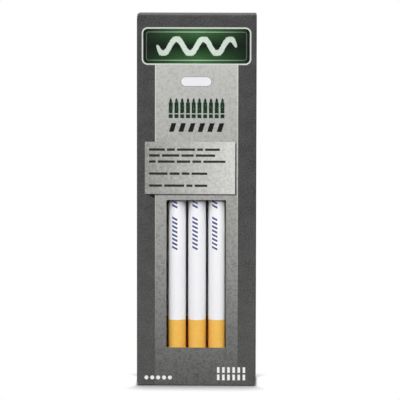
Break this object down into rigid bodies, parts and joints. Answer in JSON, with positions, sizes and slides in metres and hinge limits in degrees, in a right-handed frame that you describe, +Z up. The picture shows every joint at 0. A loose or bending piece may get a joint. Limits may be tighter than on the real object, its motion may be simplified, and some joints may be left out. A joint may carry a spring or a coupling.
{
  "type": "china marker carton",
  "caption": "Upright paperboard window carton with a folding tuck lid, filled with paper-wrapped wax china markers, each with a core, a pull string and a coloured end band.",
  "frame": {"origin": "middle of the carton's base", "axes": "+Z up along the markers, -Y out of the window, +X to the right as seen from the front"},
  "size_m": [0.0624, 0.0302, 0.1951],
  "materials": {
    "printed_board": "satin",
    "plain_board": "matte",
    "wrapper_paper": "satin",
    "band_paper": "satin",
    "wax": "satin",
    "cotton": "matte"
  },
  "bodies": {
    "carton": {"front_panel": "printed_board", "back_panel": "printed_board", "left_side_panel": "printed_board", "right_side_panel": "printed_board", "bottom_outer_panel": "printed_board", "bottom_inner_panel": "plain_board", "bottom_dust_flap_left": "plain_board", "bottom_dust_flap_right": "plain_board"},
    "lid": {"lid_panel": "printed_board"},
    "tuck": {"tuck_flap": "printed_board"},
    "dust_left": {"top_dust_flap_left": "printed_board"},
    "dust_right": {"top_dust_flap_right": "printed_board"},
    "marker_01": {"marker_01_core": "wax", "marker_01_wrapper": "wrapper_paper", "marker_01_pull_string": "cotton", "marker_01_end_band": "band_paper"},
    "marker_02": {"marker_02_core": "wax", "marker_02_wrapper": "wrapper_paper", "marker_02_pull_string": "cotton", "marker_02_end_band": "band_paper"},
    "marker_03": {"marker_03_core": "wax", "marker_03_wrapper": "wrapper_paper", "marker_03_pull_string": "cotton", "marker_03_end_band": "band_paper"},
    "marker_04": {"marker_04_core": "wax", "marker_04_wrapper": "wrapper_paper", "marker_04_pull_string": "cotton", "marker_04_end_band": "band_paper"},
    "marker_05": {"marker_05_core": "wax", "marker_05_wrapper": "wrapper_paper", "marker_05_pull_string": "cotton", "marker_05_end_band": "band_paper"},
    "marker_06": {"marker_06_core": "wax", "marker_06_wrapper": "wrapper_paper", "marker_06_pull_string": "cotton", "marker_06_end_band": "band_paper"},
    "marker_07": {"marker_07_core": "wax", "marker_07_wrapper": "wrapper_paper", "marker_07_pull_string": "cotton", "marker_07_end_band": "band_paper"},
    "marker_08": {"marker_08_core": "wax", "marker_08_wrapper": "wrapper_paper", "marker_08_pull_string": "cotton", "marker_08_end_band": "band_paper"},
    "marker_09": {"marker_09_core": "wax", "marker_09_wrapper": "wrapper_paper", "marker_09_pull_string": "cotton", "marker_09_end_band": "band_paper"},
    "marker_10": {"marker_10_core": "wax", "marker_10_wrapper": "wrapper_paper", "marker_10_pull_string": "cotton", "marker_10_end_band": "band_paper"},
    "marker_11": {"marker_11_core": "wax", "marker_11_wrapper": "wrapper_paper", "marker_11_pull_string": "cotton", "marker_11_end_band": "band_paper"},
    "marker_12": {"marker_12_core": "wax", "marker_12_wrapper": "wrapper_paper", "marker_12_pull_string": "cotton", "marker_12_end_band": "band_paper"}
  },
  "joints": [
    {"name": "lid_crease", "type": "hinge", "parent": "carton", "child": "lid", "pos_m": [0, -0.01488, 0.1948], "axis": [1, 0, 0], "range_deg": [0, 180]},
    {"name": "tuck_crease", "type": "hinge", "parent": "lid", "child": "tuck", "pos_m": [0, 0.01408, 0.1948], "axis": [1, 0, 0], "range_deg": [0, 27]},
    {"name": "dust_left_crease", "type": "hinge", "parent": "carton", "child": "dust_left", "pos_m": [-0.03095, 0, 0.1942], "axis": [0, -1, 0], "range_deg": [0, 90]},
    {"name": "dust_right_crease", "type": "hinge", "parent": "carton", "child": "dust_right", "pos_m": [0.03095, 0, 0.1942], "axis": [0, 1, 0], "range_deg": [0, 90]},
    {"name": "marker_01_slide", "type": "slide", "parent": "carton", "child": "marker_01", "axis": [0, 0, 1], "range_m": [0, 0.0018]},
    {"name": "marker_02_slide", "type": "slide", "parent": "carton", "child": "marker_02", "axis": [0, 0, 1], "range_m": [0, 0.0018]},
    {"name": "marker_03_slide", "type": "slide", "parent": "carton", "child": "marker_03", "axis": [0, 0, 1], "range_m": [0, 0.0018]},
    {"name": "marker_04_slide", "type": "slide", "parent": "carton", "child": "marker_04", "axis": [0, 0, 1], "range_m": [0, 0.0018]},
    {"name": "marker_05_slide", "type": "slide", "parent": "carton", "child": "marker_05", "axis": [0, 0, 1], "range_m": [0, 0.0018]},
    {"name": "marker_06_slide", "type": "slide", "parent": "carton", "child": "marker_06", "axis": [0, 0, 1], "range_m": [0, 0.0018]},
    {"name": "marker_07_slide", "type": "slide", "parent": "carton", "child": "marker_07", "axis": [0, 0, 1], "range_m": [0, 0.0018]},
    {"name": "marker_08_slide", "type": "slide", "parent": "carton", "child": "marker_08", "axis": [0, 0, 1], "range_m": [0, 0.0018]},
    {"name": "marker_09_slide", "type": "slide", "parent": "carton", "child": "marker_09", "axis": [0, 0, 1], "range_m": [0, 0.0018]},
    {"name": "marker_10_slide", "type": "slide", "parent": "carton", "child": "marker_10", "axis": [0, 0, 1], "range_m": [0, 0.0018]},
    {"name": "marker_11_slide", "type": "slide", "parent": "carton", "child": "marker_11", "axis": [0, 0, 1], "range_m": [0, 0.0018]},
    {"name": "marker_12_slide", "type": "slide", "parent": "carton", "child": "marker_12", "axis": [0, 0, 1], "range_m": [0, 0.0018]}
  ],
  "couplings": [
    {"joint": "tuck_crease", "follows": "lid_crease", "ratio": 0.15},
    {"joint": "dust_left_crease", "follows": "lid_crease", "ratio": 0.5},
    {"joint": "dust_right_crease", "follows": "lid_crease", "ratio": 0.5}
  ]
}
